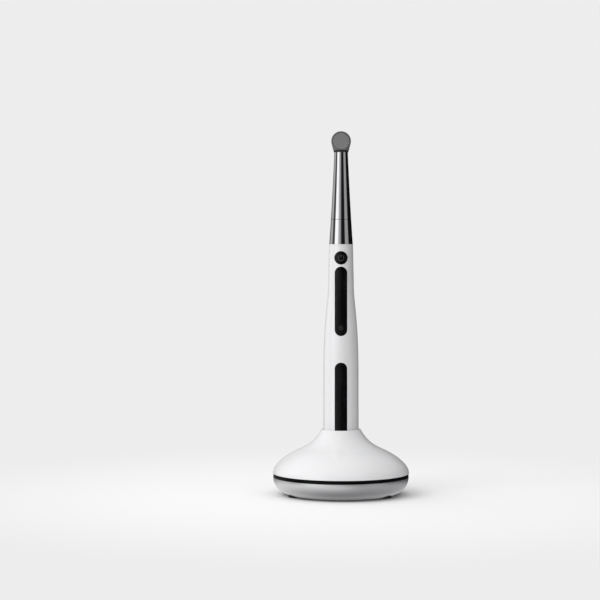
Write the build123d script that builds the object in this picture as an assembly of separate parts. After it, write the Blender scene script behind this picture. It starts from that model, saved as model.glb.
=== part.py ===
from build123d import *
import math
import os

# A pen-style dental curing light standing in its charging base. Sizes are in millimetres.
# The base stands on the floor at z = 0, the pen stands on the Z axis and its keys face -Y.

# Charging base: heights from the floor up
foot_height = 1.0
bowl_wall = 1.8
board_lift = 1.0
base_board_thickness = 1.2
pin_holder_height = 5.0
well_floor = 2.4
bowl_height = 10.2
stripe_height = 2.1
rim_height = 40.4

# Charging base: outline of the flared shell and the bowl
shell_radius = 42.0
bowl_step = 0.2
stripe_step = 0.3
shell_wall = 2.0
rim_lip = 0.75
well_wall = 1.6
shoulder_radius = 26.0
shoulder_height = 28.0
rim_angle = 30.0
shoulder_angle = 24.0
rim_hold = 8.0
shoulder_inner_hold = 7.0
shoulder_outer_hold = 8.5
skirt_hold = 5.5
bowl_flat_step = 8.0
bowl_side_hold = 5.2
bowl_foot_hold = 4.3
bowl_foot_rise = 1.4
rim_round = 0.3
stripe_edge_round = 0.3

# Feet, screws and ballast of the base
foot_radius = 4.0
foot_margin = 2.4
foot_sink = 0.8
foot_count = 3
first_foot_angle = -32.4
base_screw_margin = 6.0
base_screw_radius = 1.2
base_screw_length = 9.0
base_screw_head_radius = 2.3
base_screw_head_height = 1.4
base_screw_cover = 0.4
boss_wall = 1.8
bowl_boss_height = 5.2
ballast_thickness = 3.0
ballast_margin = 1.0
ballast_inner_radius = 15.5
rib_thickness = 1.4

# Base board and power inlet
base_board_radius = 13.0
base_board_tail_width = 14.0
inlet_overhang = 4.9
board_screw_radius = 0.9
board_screw_length = 3.4
board_screw_head_radius = 1.8
board_screw_head_height = 1.0
front_board_screw_y = -9.6
rear_board_screw_y = 19.0
inlet_width = 8.9
inlet_height = 3.2
inlet_length = 7.4
inlet_skin = 0.3
inlet_setback = 2.5
tongue_width = 6.7
tongue_height = 0.7
tongue_length = 5.6

# Spring contact pins of the base
pin_spacing = 8.0
pin_radius = 0.8
pin_flange_radius = 1.6
pin_flange_height = 0.85
pin_travel = 1.0
pin_shoulder_gap = 0.05
pin_spring_wire = 0.18
pin_spring_pitch = 0.62
pin_tail_radius = 0.6
holder_floor = 0.6
holder_roof = 0.9
holder_wall = 1.5

# Pen: lengths from its foot up
cap_flange_height = 3.0
barrel_length = 65.6
waist_length = 48.0
throat_length = 28.4
collar_length = 15.1
neck_length = 41.2
head_seal_height = 1.2
head_drop = 5.45

# Pen: radii of the white handle
handle_foot_radius = 10.95
barrel_top_radius = 10.78
throat_radius = 7.94
handle_top_radius = 7.3
waist_upper_hold = 6.5
waist_lower_hold = 28.0
sleeve_wall = 1.4
handle_round = 0.3
well_gap = 0.3

# Metal collar and neck
collar_foot_radius = 7.25
neck_top_radius = 4.15
taper_sag = 0.2
seam_gap = 0.15
neck_bore_radius = 2.4
spigot_radius = 4.2
spigot_length = 11.3
bush_wall = 0.95
bush_flange = 0.35
bush_flange_height = 0.5
bush_length = 8.5
clip_height = 0.7
clip_depth = 0.6
clip_reach = 0.5
clip_gap_width = 2.4
friction_ring_wire = 0.35
friction_ring_drop = 4.0
collar_lower_bore = 4.95
collar_spigot_length = 2.6
collar_spigot_radius = 5.75

# Contact plug, its socket and the lead in the neck
plug_pin_radius = 1.45
plug_pin_length = 5.6
plug_flange_height = 3.3
socket_height = 5.6
lead_radius = 0.9

# Head
head_radius = 6.0
head_depth = 9.6
head_wall = 1.1
head_foot_radius = 4.8
head_round = 0.45
head_seal_radius = 4.6
head_seal_round = 0.3
head_socket_depth = 5.7
head_socket_wall = 0.9
head_lead_bore = 2.0
back_cap_radius = 5.0
back_cap_depth = 0.8
back_wall = 1.4
chamber_depth = 2.0
chamber_step = 0.6
slug_thickness = 1.5
led_board_thickness = 0.8
emitter_radius = 1.7
emitter_height = 0.8
reflector_height = 1.2
lens_edge = 0.8
lens_dome_radius = 3.6
lens_dome_height = 0.75
lens_seal_wire = 0.25
lens_seal_radius = 4.25
lens_ring_bore = 3.75

# Keys, window and strip on the front of the handle
panel_width = 7.6
panel_depth = 0.9
power_key_drop = 8.4
power_key_radius = 3.95
key_stand = 0.25
key_round = 0.25
key_travel = 0.4
key_flange_overlap = 0.4
key_flange_thickness = 0.8
key_post_radius = 1.3
window_top_drop = 13.8
window_length = 42.3
window_hole_width = 5.0
window_hole_length = 17.0
window_hole_drop = 8.8
mode_key_radius = 2.75
mode_key_lift = 4.9
strip_gap = 16.3
strip_length = 48.0

# Inner parts of the handle
board_front_y = -2.1
main_board_thickness = 1.2
main_board_width = 10.0
main_board_top_drop = 5.1
main_board_bottom_lift = 7.0
switch_size = 4.4
switch_depth = 1.4
plunger_radius = 1.0
plunger_stand = 0.65
display_width = 6.2
display_length = 19.0
display_depth = 2.8
buzzer_radius = 2.9
buzzer_depth = 2.4
buzzer_drop = 7.4
chassis_wall = 1.2
chassis_plate = 1.2
chassis_top_drop = 3.4
chassis_rib_count = 3
cell_radius = 9.1
cell_length = 65.0
cell_nub_radius = 2.8
cell_nub_height = 1.0
cell_spring_wire = 0.35
cell_spring_radius = 7.0
cell_spring_pitch = 1.1
cell_spring_turns = 3
top_contact_radius = 4.2
top_contact_thickness = 0.5

# End cap of the pen
cap_floor = 2.0
cap_spigot_height = 2.6
cap_spigot_wall = 1.35
cap_chamfer = 0.8
key_slot_width = 3.0
key_slot_depth = 1.5
key_rib_clearance = 0.2
pad_radius = 1.45
pad_thickness = 0.6
pad_head_radius = 2.0
pad_head_height = 0.4
cap_seal_wire = 0.36

# Clearances
running = 0.05
fit = 0.05
slip = 0.1
loose = 0.15

# Heights, radii and places that follow from the sizes above
bowl_radius = shell_radius - bowl_step
stripe_radius = shell_radius - stripe_step
bowl_flat_radius = shell_radius - bowl_flat_step
foot_circle = bowl_flat_radius - foot_margin
base_screw_circle = bowl_flat_radius - base_screw_margin
ballast_outer_radius = bowl_flat_radius - ballast_margin
inlet_mouth_y = shell_radius - inlet_setback
base_board_tail_end = inlet_mouth_y - inlet_overhang

bowl_floor_z = foot_height + bowl_wall
base_board_z = bowl_floor_z + board_lift
base_board_top_z = base_board_z + base_board_thickness
well_underside_z = base_board_top_z + pin_holder_height
seat_z = well_underside_z + well_floor
bowl_rim_z = foot_height + bowl_height
shell_foot_z = bowl_rim_z + stripe_height
rim_z = rim_height
well_radius = handle_foot_radius + well_gap
rim_radius = well_radius + rim_lip

sleeve_foot_z = seat_z + cap_flange_height
waist_foot_z = seat_z + barrel_length
waist_top_z = waist_foot_z + waist_length
handle_top_z = waist_top_z + throat_length
seam_z = handle_top_z + collar_length
neck_top_z = seam_z + neck_length
head_foot_z = neck_top_z + head_seal_height
head_z = head_foot_z + head_drop

cap_floor_z = seat_z + cap_floor
cell_z = cap_floor_z + cell_spring_turns * cell_spring_pitch + 2 * cell_spring_wire
cell_top_z = cell_z + cell_length
chassis_z = cell_top_z + top_contact_thickness
chassis_top_z = handle_top_z - chassis_top_drop
power_key_z = handle_top_z - power_key_drop
window_top_z = handle_top_z - window_top_drop
window_foot_z = window_top_z - window_length
mode_key_z = window_foot_z + mode_key_lift
strip_top_z = window_foot_z - strip_gap
strip_foot_z = strip_top_z - strip_length
window_hole_top_z = window_top_z - window_hole_drop
window_hole_mid_z = window_hole_top_z - window_hole_length / 2
pad_face_z = cap_floor_z - pad_thickness
pin_tip_z = pad_face_z - running

head_front_y = -head_depth / 2
head_lens_y = head_depth / 2
head_bore_radius = head_radius - head_wall
chamber_y = head_front_y + back_cap_depth + back_wall
slug_y = chamber_y + chamber_depth
led_board_y = slug_y + slug_thickness
reflector_y = led_board_y + led_board_thickness
lens_y = reflector_y + reflector_height
lens_edge_y = lens_y + lens_edge
far = 60.0


# Plain shapes
def post(radius, bottom, top, x=0.0, y=0.0):
    """A round bar that stands upright."""
    return Pos(x, y, (bottom + top) / 2) * Cylinder(radius, top - bottom)


def sleeve(outer, inner, bottom, top, x=0.0, y=0.0):
    """An upright tube."""
    return post(outer, bottom, top, x, y) - post(inner, bottom, top, x, y)


def bar_y(radius, y_from, y_to, z, x=0.0):
    """A round bar that lies along Y."""
    return Pos(x, (y_from + y_to) / 2, z) * Rot(90, 0, 0) * Cylinder(radius, y_to - y_from)


def block(width, y_from, y_to, z_from, z_to, x=0.0):
    """A straight block, centred on x."""
    place = Pos(x, (y_from + y_to) / 2, (z_from + z_to) / 2)
    return place * Box(width, y_to - y_from, z_to - z_from)


def polyline(points):
    """Straight edges from each point to the next, where the two differ."""
    return [Line(a, b) for a, b in zip(points, points[1:]) if a != b]


def turned(edges):
    """A solid turned about the Z axis from its half outline in radius and height."""
    return revolve(Plane.XZ * make_face(edges), Axis.Z)


def o_ring(radius, wire, z):
    """A rubber ring about the Z axis."""
    return Pos(0, 0, z) * Torus(radius, wire)


def around(count, first_angle, radius):
    """Points spaced evenly on a circle."""
    angles = [math.radians(first_angle + 360 * i / count) for i in range(count)]
    return [(radius * math.cos(a), radius * math.sin(a)) for a in angles]


def front_prism(width, z_from, z_to):
    """A bar with full-round ends that runs forward from the pen's axis."""
    face = SlotOverall(z_to - z_from, width, rotation=90)
    place = Plane((0, 0, (z_from + z_to) / 2), x_dir=(1, 0, 0), z_dir=(0, -1, 0))
    return extrude(place * face, far)


def coil(radius, wire, pitch, turns, z):
    """A coil spring whose lowest point is at height z."""
    path = Pos(0, 0, z + wire) * Helix(pitch, pitch * turns, radius)
    section = Plane(path @ 0, z_dir=path % 0) * Circle(wire)
    return sweep(section, path)


def write(name, shape):
    """Save one piece under its own name."""
    export_step(shape, f"parts/{name}.step")


# Outline of the white handle
def handle_curve(inset):
    """The handle's side from top to foot, drawn in by the inset."""
    top = (handle_top_radius - inset, handle_top_z)
    throat = (throat_radius - inset, waist_top_z)
    barrel = (barrel_top_radius - inset, waist_foot_z)
    foot = (handle_foot_radius - inset, sleeve_foot_z)
    lean = (throat_radius - handle_top_radius) / throat_length
    draft = (handle_foot_radius - barrel_top_radius) / (waist_foot_z - sleeve_foot_z)
    below_throat = (throat[0] + lean * waist_upper_hold, throat[1] - waist_upper_hold)
    above_barrel = (barrel[0] - draft * waist_lower_hold, barrel[1] + waist_lower_hold)
    waist = Bezier(throat, below_throat, above_barrel, barrel)
    return [Line(top, throat), waist, Line(barrel, foot)]


def handle_blank(inset):
    """The handle's outer form as a full solid, drawn in by the inset."""
    axis = [
        (handle_foot_radius - inset, sleeve_foot_z),
        (0, sleeve_foot_z),
        (0, handle_top_z),
        (handle_top_radius - inset, handle_top_z),
    ]
    return turned(handle_curve(inset) + polyline(axis))


def on_handle(prism, stand, depth):
    """The part of a prism between two skins of the handle's surface."""
    return (prism & handle_blank(-stand)) - handle_blank(depth)


# Outline of the metal collar and neck
def taper_radius(z):
    """Radius of the slightly hollow taper that collar and neck share."""
    share = (z - handle_top_z) / (neck_top_z - handle_top_z)
    straight = collar_foot_radius + (neck_top_radius - collar_foot_radius) * share
    return straight - taper_sag * 4 * share * (1 - share)


def taper_arc(bottom, top):
    """The taper's side between two heights."""
    points = [(taper_radius(z), z) for z in (bottom, (bottom + top) / 2, top)]
    return ThreePointArc(*points)


# Outline of the base
def shell_curve(inset):
    """The flared shell's side from the rim to its foot, moved in by the inset."""
    rim_lean = math.radians(rim_angle)
    slope = math.radians(shoulder_angle)
    rim_way = (math.sin(rim_lean), -math.cos(rim_lean))
    slope_way = (math.cos(slope), -math.sin(slope))
    rim = (rim_radius + rim_way[1] * inset, rim_z - rim_way[0] * inset)
    shoulder = (shoulder_radius + slope_way[1] * inset, shoulder_height - slope_way[0] * inset)
    foot = (shell_radius - inset, shell_foot_z)
    after_rim = (rim[0] + rim_way[0] * rim_hold, rim[1] + rim_way[1] * rim_hold)
    before_shoulder = (
        shoulder[0] - slope_way[0] * shoulder_inner_hold,
        shoulder[1] - slope_way[1] * shoulder_inner_hold,
    )
    after_shoulder = (
        shoulder[0] + slope_way[0] * shoulder_outer_hold,
        shoulder[1] + slope_way[1] * shoulder_outer_hold,
    )
    above_foot = (foot[0], foot[1] + skirt_hold)
    flare = Bezier(rim, after_rim, before_shoulder, shoulder)
    skirt = Bezier(shoulder, after_shoulder, above_foot, foot)
    return [flare, skirt], rim, foot


def shell_blank(inset, bottom):
    """The shell's form as a full solid down to the given height."""
    curve, rim, foot = shell_curve(inset)
    return turned(curve + polyline([foot, (foot[0], bottom), (0, bottom), (0, rim[1]), rim]))


def bowl_blank(inset):
    """The bowl's form as a full solid, drawn in by the inset."""
    edge = (bowl_radius - inset, bowl_rim_z)
    below_edge = (edge[0], edge[1] - bowl_side_hold)
    flat = (bowl_flat_radius, foot_height + inset)
    beside_flat = (flat[0] + bowl_foot_hold - inset, flat[1] + bowl_foot_rise)
    curve = Bezier(edge, below_edge, beside_flat, flat)
    return turned([curve] + polyline([flat, (0, flat[1]), (0, edge[1]), edge]))


# Charging base
def base_screw_places():
    """Screws lie midway between the feet."""
    return around(foot_count, first_foot_angle + 180 / foot_count, base_screw_circle)


def base_top_shell():
    """Flared white shell with the cradle well, its key rib, ribs and screw bosses."""
    boss_radius = base_screw_radius + boss_wall
    boss_foot_z = bowl_floor_z + bowl_boss_height
    outside = shell_blank(0, shell_foot_z)
    outside = fillet(outside.edges().group_by(Axis.Z)[0], stripe_edge_round)
    shell = outside - shell_blank(shell_wall, shell_foot_z)
    envelope = shell_blank(shell_wall / 2, boss_foot_z)
    well = post(well_radius + well_wall, well_underside_z, rim_z)
    for x, y in base_screw_places():
        well += post(boss_radius, boss_foot_z, rim_z, x, y)
    for angle in [first_foot_angle + 360 * i / foot_count for i in range(foot_count)]:
        reach = block(rib_thickness, 0, shoulder_radius + shell_wall, shell_foot_z, rim_z)
        well += Rot(0, 0, angle - 90) * reach
    shell += well & envelope
    rib_width = key_slot_width - 2 * key_rib_clearance
    rib_foot_y = well_radius - key_slot_depth + well_gap
    key_rib = block(
        rib_width,
        rib_foot_y,
        well_radius + well_wall / 2,
        seat_z,
        sleeve_foot_z - 2 * key_rib_clearance,
    )
    shell -= post(well_radius, seat_z, rim_z + far)
    shell += key_rib
    for x, y in base_screw_places():
        shell -= post(base_screw_radius + fit, boss_foot_z, base_screw_top_z() + slip, x, y)
    for x in (-pin_spacing / 2, pin_spacing / 2):
        shell -= post(pin_radius + running, well_underside_z, seat_z, x)
    rim_edges = shell.edges().filter_by(GeomType.CIRCLE).group_by(Axis.Z)[-1]
    return fillet(rim_edges, rim_round)


def base_screw_top_z():
    """Tip of a base screw."""
    head_z = foot_height + base_screw_cover
    return head_z + base_screw_head_height + base_screw_length


def trim_ring():
    """Black ring between shell and bowl, with a tongue that locates both."""
    tongue_outer = shell_radius - shell_wall - 3 * slip
    tongue_outer = min(tongue_outer, bowl_radius - bowl_wall - 3 * slip)
    tongue_inner = tongue_outer - stripe_height / 2
    tongue = sleeve(
        tongue_outer, tongue_inner, bowl_rim_z - stripe_height / 2, shell_foot_z + stripe_height
    )
    return tongue + sleeve(stripe_radius, tongue_inner, bowl_rim_z, shell_foot_z)


def inlet_slot(extra, y_from, y_to):
    """A bar along Y with the inlet's flat oval section, grown by the extra."""
    face = SlotOverall(inlet_width + 2 * extra, inlet_height + 2 * extra)
    place = Plane((0, y_to, inlet_z()), x_dir=(1, 0, 0), z_dir=(0, -1, 0))
    return extrude(place * face, y_to - y_from)


def inlet_z():
    """Height of the inlet's centre."""
    return base_board_top_z + inlet_height / 2


def base_bowl():
    """Silver-grey bowl with screw bosses, board bosses, foot seats and the inlet's slot."""
    outside = bowl_blank(0)
    outside = fillet(outside.edges().group_by(Axis.Z)[-1], stripe_edge_round)
    bowl = outside - bowl_blank(bowl_wall)
    boss_radius = base_screw_radius + boss_wall
    head_seat_z = foot_height + base_screw_cover + base_screw_head_height
    for x, y in base_screw_places():
        bowl += post(boss_radius, bowl_floor_z, bowl_floor_z + bowl_boss_height, x, y)
        bowl -= post(base_screw_radius + slip, foot_height, bowl_floor_z + bowl_boss_height, x, y)
        bowl -= post(base_screw_head_radius + slip, 0, head_seat_z, x, y)
    for y in (front_board_screw_y, rear_board_screw_y):
        bowl += post(board_screw_radius + boss_wall, bowl_floor_z, base_board_z, 0, y)
        screw_foot_z = base_board_top_z - board_screw_length
        bowl -= post(board_screw_radius + fit, screw_foot_z - slip, base_board_z, 0, y)
    for x, y in around(foot_count, first_foot_angle, foot_circle):
        bowl -= post(foot_radius + fit, 0, foot_height + foot_sink, x, y)
    return bowl - inlet_slot(loose, inlet_mouth_y - inlet_length, shell_radius)


def feet():
    """Rubber feet in their seats."""
    places = around(foot_count, first_foot_angle, foot_circle)
    foot = post(foot_radius, 0, foot_height + foot_sink)
    foot = fillet(foot.edges().group_by(Axis.Z)[0], rim_round)
    return Compound([Pos(x, y, 0) * foot for x, y in places])


def ballast_plate():
    """Steel plate on the bowl's floor, open for the board and the bosses."""
    top = bowl_floor_z + ballast_thickness
    plate = sleeve(ballast_outer_radius, ballast_inner_radius, bowl_floor_z, top)
    open_width = base_board_tail_width + 4 * boss_wall
    plate -= block(open_width, 0, far, bowl_floor_z, top)
    for x, y in base_screw_places():
        plate -= post(base_screw_radius + boss_wall + slip, bowl_floor_z, top, x, y)
    return plate


def base_board():
    """Round circuit board with a tail that carries the inlet."""
    board = post(base_board_radius, base_board_z, base_board_top_z)
    board += block(
        base_board_tail_width, 0, base_board_tail_end, base_board_z, base_board_top_z
    )
    for y in (front_board_screw_y, rear_board_screw_y):
        board -= post(board_screw_radius + slip, base_board_z, base_board_top_z, 0, y)
    return board


def screw(radius, length, head_radius, head_height):
    """A screw that points up, with its head's top face at z = 0."""
    head = post(head_radius, -head_height, 0)
    head = fillet(head.edges().group_by(Axis.Z)[0], head_height / 3)
    return head + post(radius, 0, length)


def base_screws():
    """Screws that hold the shell on the bowl."""
    one = screw(
        base_screw_radius, base_screw_length, base_screw_head_radius, base_screw_head_height
    )
    seat = foot_height + base_screw_cover + base_screw_head_height
    return Compound([Pos(x, y, seat) * one for x, y in base_screw_places()])


def board_screws():
    """Screws that hold the base board down."""
    one = screw(
        board_screw_radius, board_screw_length, board_screw_head_radius, board_screw_head_height
    )
    one = Rot(180, 0, 0) * one
    places = (front_board_screw_y, rear_board_screw_y)
    return Compound([Pos(0, y, base_board_top_z) * one for y in places])


def power_inlet():
    """Flat oval metal socket on the board's tail."""
    back_y = inlet_mouth_y - inlet_length
    shell = inlet_slot(0, back_y, inlet_mouth_y)
    return shell - inlet_slot(-inlet_skin, back_y + inlet_skin, inlet_mouth_y)


def inlet_tongue():
    """Contact tongue in the middle of the inlet."""
    back_y = inlet_mouth_y - inlet_length + inlet_skin
    base = inlet_slot(-inlet_skin - fit, back_y, inlet_mouth_y - tongue_length)
    half = tongue_height / 2
    middle = inlet_z()
    end_y = inlet_mouth_y - inlet_skin
    return base + block(tongue_width, back_y, end_y, middle - half, middle + half)


def pin_holder():
    """Plastic block on the board that guides the two spring contact pins."""
    cell = pin_flange_radius + slip
    half_width = cell + holder_wall
    top = well_underside_z
    holder = block(
        pin_spacing + 2 * half_width, -half_width, half_width, base_board_top_z, top
    )
    holder = fillet(holder.edges().filter_by(Axis.Z), holder_wall)
    for x in (-pin_spacing / 2, pin_spacing / 2):
        holder -= post(cell, base_board_top_z + holder_floor, pin_stop_z(), x)
        holder -= post(pin_radius + running, pin_stop_z(), top, x)
    return holder


def pin_stop_z():
    """Underside of the holder's roof, where a pin's flange stops."""
    return well_underside_z - holder_roof


def charge_pin(x):
    """One spring contact pin with a round tip, a flange and a tail in its spring."""
    flange_top = pin_stop_z() - pin_shoulder_gap
    flange_foot = flange_top - pin_flange_height
    shank = post(pin_radius, flange_top, pin_tip_z, x)
    shank = fillet(shank.edges().group_by(Axis.Z)[-1], pin_radius * 0.6)
    flange = post(pin_flange_radius, flange_foot, flange_top, x)
    tail_foot = base_board_top_z + holder_floor + pin_travel + loose
    return shank + flange + post(pin_tail_radius, tail_foot, flange_foot, x)


def pin_spring(x):
    """Coil spring under a pin's flange."""
    foot = base_board_top_z + holder_floor
    top = pin_stop_z() - pin_shoulder_gap - pin_flange_height
    turns = (top - foot - 2 * pin_spring_wire) / pin_spring_pitch
    radius = (pin_tail_radius + pin_flange_radius) / 2
    return Pos(x, 0, 0) * coil(radius, pin_spring_wire, pin_spring_pitch, turns, foot)


# Pen handle
def handle_sleeve():
    """One-piece moulded handle with its keyholes, panel seats and display hole."""
    body = handle_blank(0)
    body = fillet(body.edges().group_by(Axis.Z)[-1], handle_round)
    body -= handle_blank(sleeve_wall)
    window = front_prism(panel_width + 2 * fit, window_foot_z - fit, window_top_z + fit)
    strip = front_prism(panel_width + 2 * fit, strip_foot_z - fit, strip_top_z + fit)
    body -= window - handle_blank(panel_depth + fit)
    body -= strip - handle_blank(panel_depth + fit)
    body -= bar_y(power_key_radius + loose, -far, 0, power_key_z)
    body -= bar_y(mode_key_radius + loose, -far, 0, mode_key_z)
    hole_foot_z = window_hole_top_z - window_hole_length
    body -= block(window_hole_width, -far, 0, hole_foot_z, window_hole_top_z)
    return body


def display_window():
    """Glossy black window, flush with the handle, with the hole for the mode key."""
    prism = front_prism(panel_width, window_foot_z, window_top_z)
    return on_handle(prism, 0, panel_depth) - bar_y(mode_key_radius + loose, -far, 0, mode_key_z)


def badge_strip():
    """Glossy black strip, flush with the handle."""
    return on_handle(front_prism(panel_width, strip_foot_z, strip_top_z), 0, panel_depth)


def key(radius, z):
    """A round key that follows the handle's surface, with a flange behind the wall."""
    inner = sleeve_wall + loose
    face = on_handle(bar_y(radius, -far, 0, z), key_stand, inner + key_flange_thickness)
    face = fillet(face.faces().sort_by(Axis.Y)[0].edges(), key_round)
    flange_bar = bar_y(radius + key_flange_overlap, -far, 0, z)
    flange = on_handle(flange_bar, -inner, inner + key_flange_thickness)
    stem = bar_y(key_post_radius, -far, plunger_tip_y(), z)
    stem = stem & handle_blank(inner + key_flange_thickness / 2)
    return face + flange + stem


def plunger_tip_y():
    """Front end of a switch's plunger."""
    return board_front_y - switch_depth - plunger_stand


def switch_body(z):
    """Square push switch on the front of the main board."""
    half = switch_size / 2
    front_y = board_front_y - switch_depth
    body = block(switch_size, front_y, board_front_y, z - half, z + half)
    well = bar_y(plunger_radius + fit, front_y, board_front_y - plunger_seat(), z)
    return body - well


def plunger_seat():
    """Thickness of the switch behind its plunger."""
    return switch_depth - plunger_stand - key_travel + fit


def switch_plunger(z):
    """Plunger of a push switch, which its key pushes in."""
    seat_y = board_front_y - plunger_seat() - key_travel - running
    return bar_y(plunger_radius, plunger_tip_y(), seat_y, z)


def display_module():
    """Display with its backing frame, in front of the board."""
    half = display_length / 2
    foot, top = window_hole_mid_z - half, window_hole_mid_z + half
    return block(display_width, board_front_y - display_depth, board_front_y, foot, top)


def buzzer():
    """Round sounder on the board, below the mode key."""
    y = board_front_y
    can = bar_y(buzzer_radius, y - buzzer_depth, y, mode_key_z - buzzer_drop)
    hole = bar_y(buzzer_radius / 5, y - buzzer_depth, y - buzzer_depth / 2, mode_key_z - buzzer_drop)
    return can - hole


def main_board():
    """Main circuit board, which lies on the chassis."""
    foot = chassis_z + main_board_bottom_lift
    top = handle_top_z - main_board_top_drop
    y = board_front_y
    return block(main_board_width, y, y + main_board_thickness, foot, top)


def chassis():
    """Half-round tray that fills the handle's bore behind the board."""
    back_y = board_front_y + main_board_thickness
    outer = sleeve_wall + loose
    tray = block(far, back_y, far, chassis_z, chassis_top_z)
    frame = (tray & handle_blank(outer)) - handle_blank(outer + chassis_wall)
    inside = handle_blank(outer + chassis_wall / 2)
    frame += post(far, chassis_z, chassis_z + chassis_plate) & handle_blank(outer)
    step = (chassis_top_z - chassis_z - chassis_plate) / chassis_rib_count
    for number in range(1, chassis_rib_count + 1):
        top = chassis_z + chassis_plate + step * number
        frame += block(far, back_y, far, top - chassis_plate, top) & inside
    return frame


def battery_cell():
    """Round lithium cell with its raised end."""
    can = post(cell_radius, cell_z, cell_top_z - cell_nub_height)
    can = fillet(can.edges(), cell_nub_height / 2)
    return can + post(cell_nub_radius, cell_top_z - cell_nub_height, cell_top_z)


def battery_spring():
    """Coil under the cell's flat end."""
    return coil(
        cell_spring_radius, cell_spring_wire, cell_spring_pitch, cell_spring_turns, cap_floor_z
    )


def battery_top_contact():
    """Round contact under the chassis."""
    return post(top_contact_radius, cell_top_z, chassis_z)


def cap_spigot_radius():
    """The end cap's spigot fills the sleeve's bore."""
    return handle_foot_radius - sleeve_wall - slip


def end_cap():
    """Cap that closes the handle's foot, with the contact holes and the key slot."""
    flange_radius = handle_foot_radius - loose
    body = post(flange_radius, seat_z, sleeve_foot_z)
    body = chamfer(body.edges().group_by(Axis.Z)[0], cap_chamfer)
    body += post(cap_spigot_radius(), sleeve_foot_z, sleeve_foot_z + cap_spigot_height)
    body -= post(cap_spigot_radius() - cap_spigot_wall, cap_floor_z, sleeve_foot_z + far)
    groove_radius = cap_spigot_radius() - 2 * cap_seal_wire
    half = cap_seal_wire + fit
    body -= sleeve(handle_foot_radius, groove_radius, cap_seal_z() - half, cap_seal_z() + half)
    slot_floor_y = well_radius - key_slot_depth
    body -= block(key_slot_width, slot_floor_y, far, seat_z, sleeve_foot_z)
    for x in (-pin_spacing / 2, pin_spacing / 2):
        body -= post(pad_radius + fit, seat_z, cap_floor_z, x)
    return body


def cap_seal_z():
    """Height of the end cap's rubber ring."""
    return sleeve_foot_z + cap_spigot_height / 2


def end_cap_seal():
    """Rubber ring on the end cap's spigot."""
    radius = cap_spigot_radius() - cap_seal_wire + fit
    return o_ring(radius, cap_seal_wire, cap_seal_z())


def pen_contacts():
    """Two plated contacts, riveted through the end cap's floor."""
    pad = post(pad_radius, pad_face_z, cap_floor_z)
    pad += post(pad_head_radius, cap_floor_z, cap_floor_z + pad_head_height)
    return Compound([Pos(x, 0, 0) * pad for x in (-pin_spacing / 2, pin_spacing / 2)])


# Collar and swivel
def bush_foot_z():
    """Lower end of the swivel bush."""
    return seam_z - bush_length


def bush_radius():
    """Outer radius of the swivel bush."""
    return spigot_radius + running + bush_wall


def neck_collar():
    """Polished collar, stepped inside for the bush and the contact socket."""
    foot_z = handle_top_z - collar_spigot_length
    outline = polyline(
        [
            (collar_lower_bore, foot_z),
            (collar_spigot_radius, foot_z),
            (collar_spigot_radius, handle_top_z),
            (collar_foot_radius, handle_top_z),
        ]
    )
    outline.append(taper_arc(handle_top_z, seam_z))
    flange_bore = bush_radius() + bush_flange + fit
    outline += polyline(
        [
            (taper_radius(seam_z), seam_z),
            (flange_bore, seam_z),
            (flange_bore, seam_z - bush_flange_height),
            (bush_radius() + fit, seam_z - bush_flange_height),
            (bush_radius() + fit, bush_foot_z()),
            (collar_lower_bore, bush_foot_z()),
            (collar_lower_bore, foot_z),
        ]
    )
    return turned(outline)


def swivel_bush():
    """Flanged plastic bush that the neck turns in."""
    inner = spigot_radius + running
    body = sleeve(bush_radius(), inner, bush_foot_z(), seam_z)
    flange_foot_z = seam_z - bush_flange_height
    return body + sleeve(bush_radius() + bush_flange, inner, flange_foot_z, seam_z)


def neck_foot_z():
    """Lower end of the neck's spigot."""
    return seam_z - spigot_length


def clip_top_z():
    """Top of the clip's groove, just under the bush."""
    return bush_foot_z() - slip


def neck_tube():
    """Polished tapered neck with its grooved spigot and stepped bore."""
    shoulder_z = seam_z + seam_gap
    socket_foot_z = neck_top_z - head_socket_depth
    socket_bore = neck_top_radius - head_socket_wall
    outline = [taper_arc(shoulder_z, neck_top_z)]
    outline += polyline(
        [
            (neck_top_radius, neck_top_z),
            (socket_bore, neck_top_z),
            (socket_bore, socket_foot_z),
            (neck_bore_radius, socket_foot_z),
            (neck_bore_radius, neck_foot_z()),
            (spigot_radius, neck_foot_z()),
            (spigot_radius, shoulder_z),
            (taper_radius(shoulder_z), shoulder_z),
        ]
    )
    neck = turned(outline)
    clip_groove = spigot_radius - clip_depth
    neck -= sleeve(far, clip_groove, clip_top_z() - clip_height - slip, clip_top_z()) & post(
        spigot_radius + fit, neck_foot_z(), bush_foot_z()
    )
    ring_z = seam_z - friction_ring_drop
    half = friction_ring_wire + fit
    groove = spigot_radius - 2 * friction_ring_wire
    return neck - sleeve(spigot_radius + fit, groove, ring_z - half, ring_z + half)


def friction_ring():
    """Rubber ring that holds the neck where it is turned to."""
    radius = spigot_radius - friction_ring_wire + running / 2
    return o_ring(radius, friction_ring_wire, seam_z - friction_ring_drop)


def retaining_clip():
    """Open clip that keeps the neck in its bush."""
    inner = spigot_radius - clip_depth + fit
    top = clip_top_z() - fit
    clip = sleeve(spigot_radius + clip_reach, inner, top - clip_height, top)
    return clip - block(clip_gap_width, 0, far, top - clip_height, top)


def neck_plug():
    """Coaxial contact plug in the neck's lower end."""
    tip_z = neck_foot_z() - plug_pin_length
    pin = post(plug_pin_radius, tip_z, neck_foot_z())
    pin = fillet(pin.edges().group_by(Axis.Z)[0], plug_pin_radius * 0.6)
    flange = post(neck_bore_radius - fit, neck_foot_z(), neck_foot_z() + plug_flange_height)
    return pin + flange


def contact_socket():
    """Round socket in the collar that the plug turns in."""
    foot_z = handle_top_z - collar_spigot_length
    top = foot_z + socket_height
    return sleeve(collar_lower_bore - fit, plug_pin_radius + running, foot_z, top)


def led_lead():
    """Lead that runs up the neck from the plug to the head."""
    foot_z = neck_foot_z() + plug_flange_height
    return post(lead_radius, foot_z, head_z - head_bore_radius)


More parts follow.
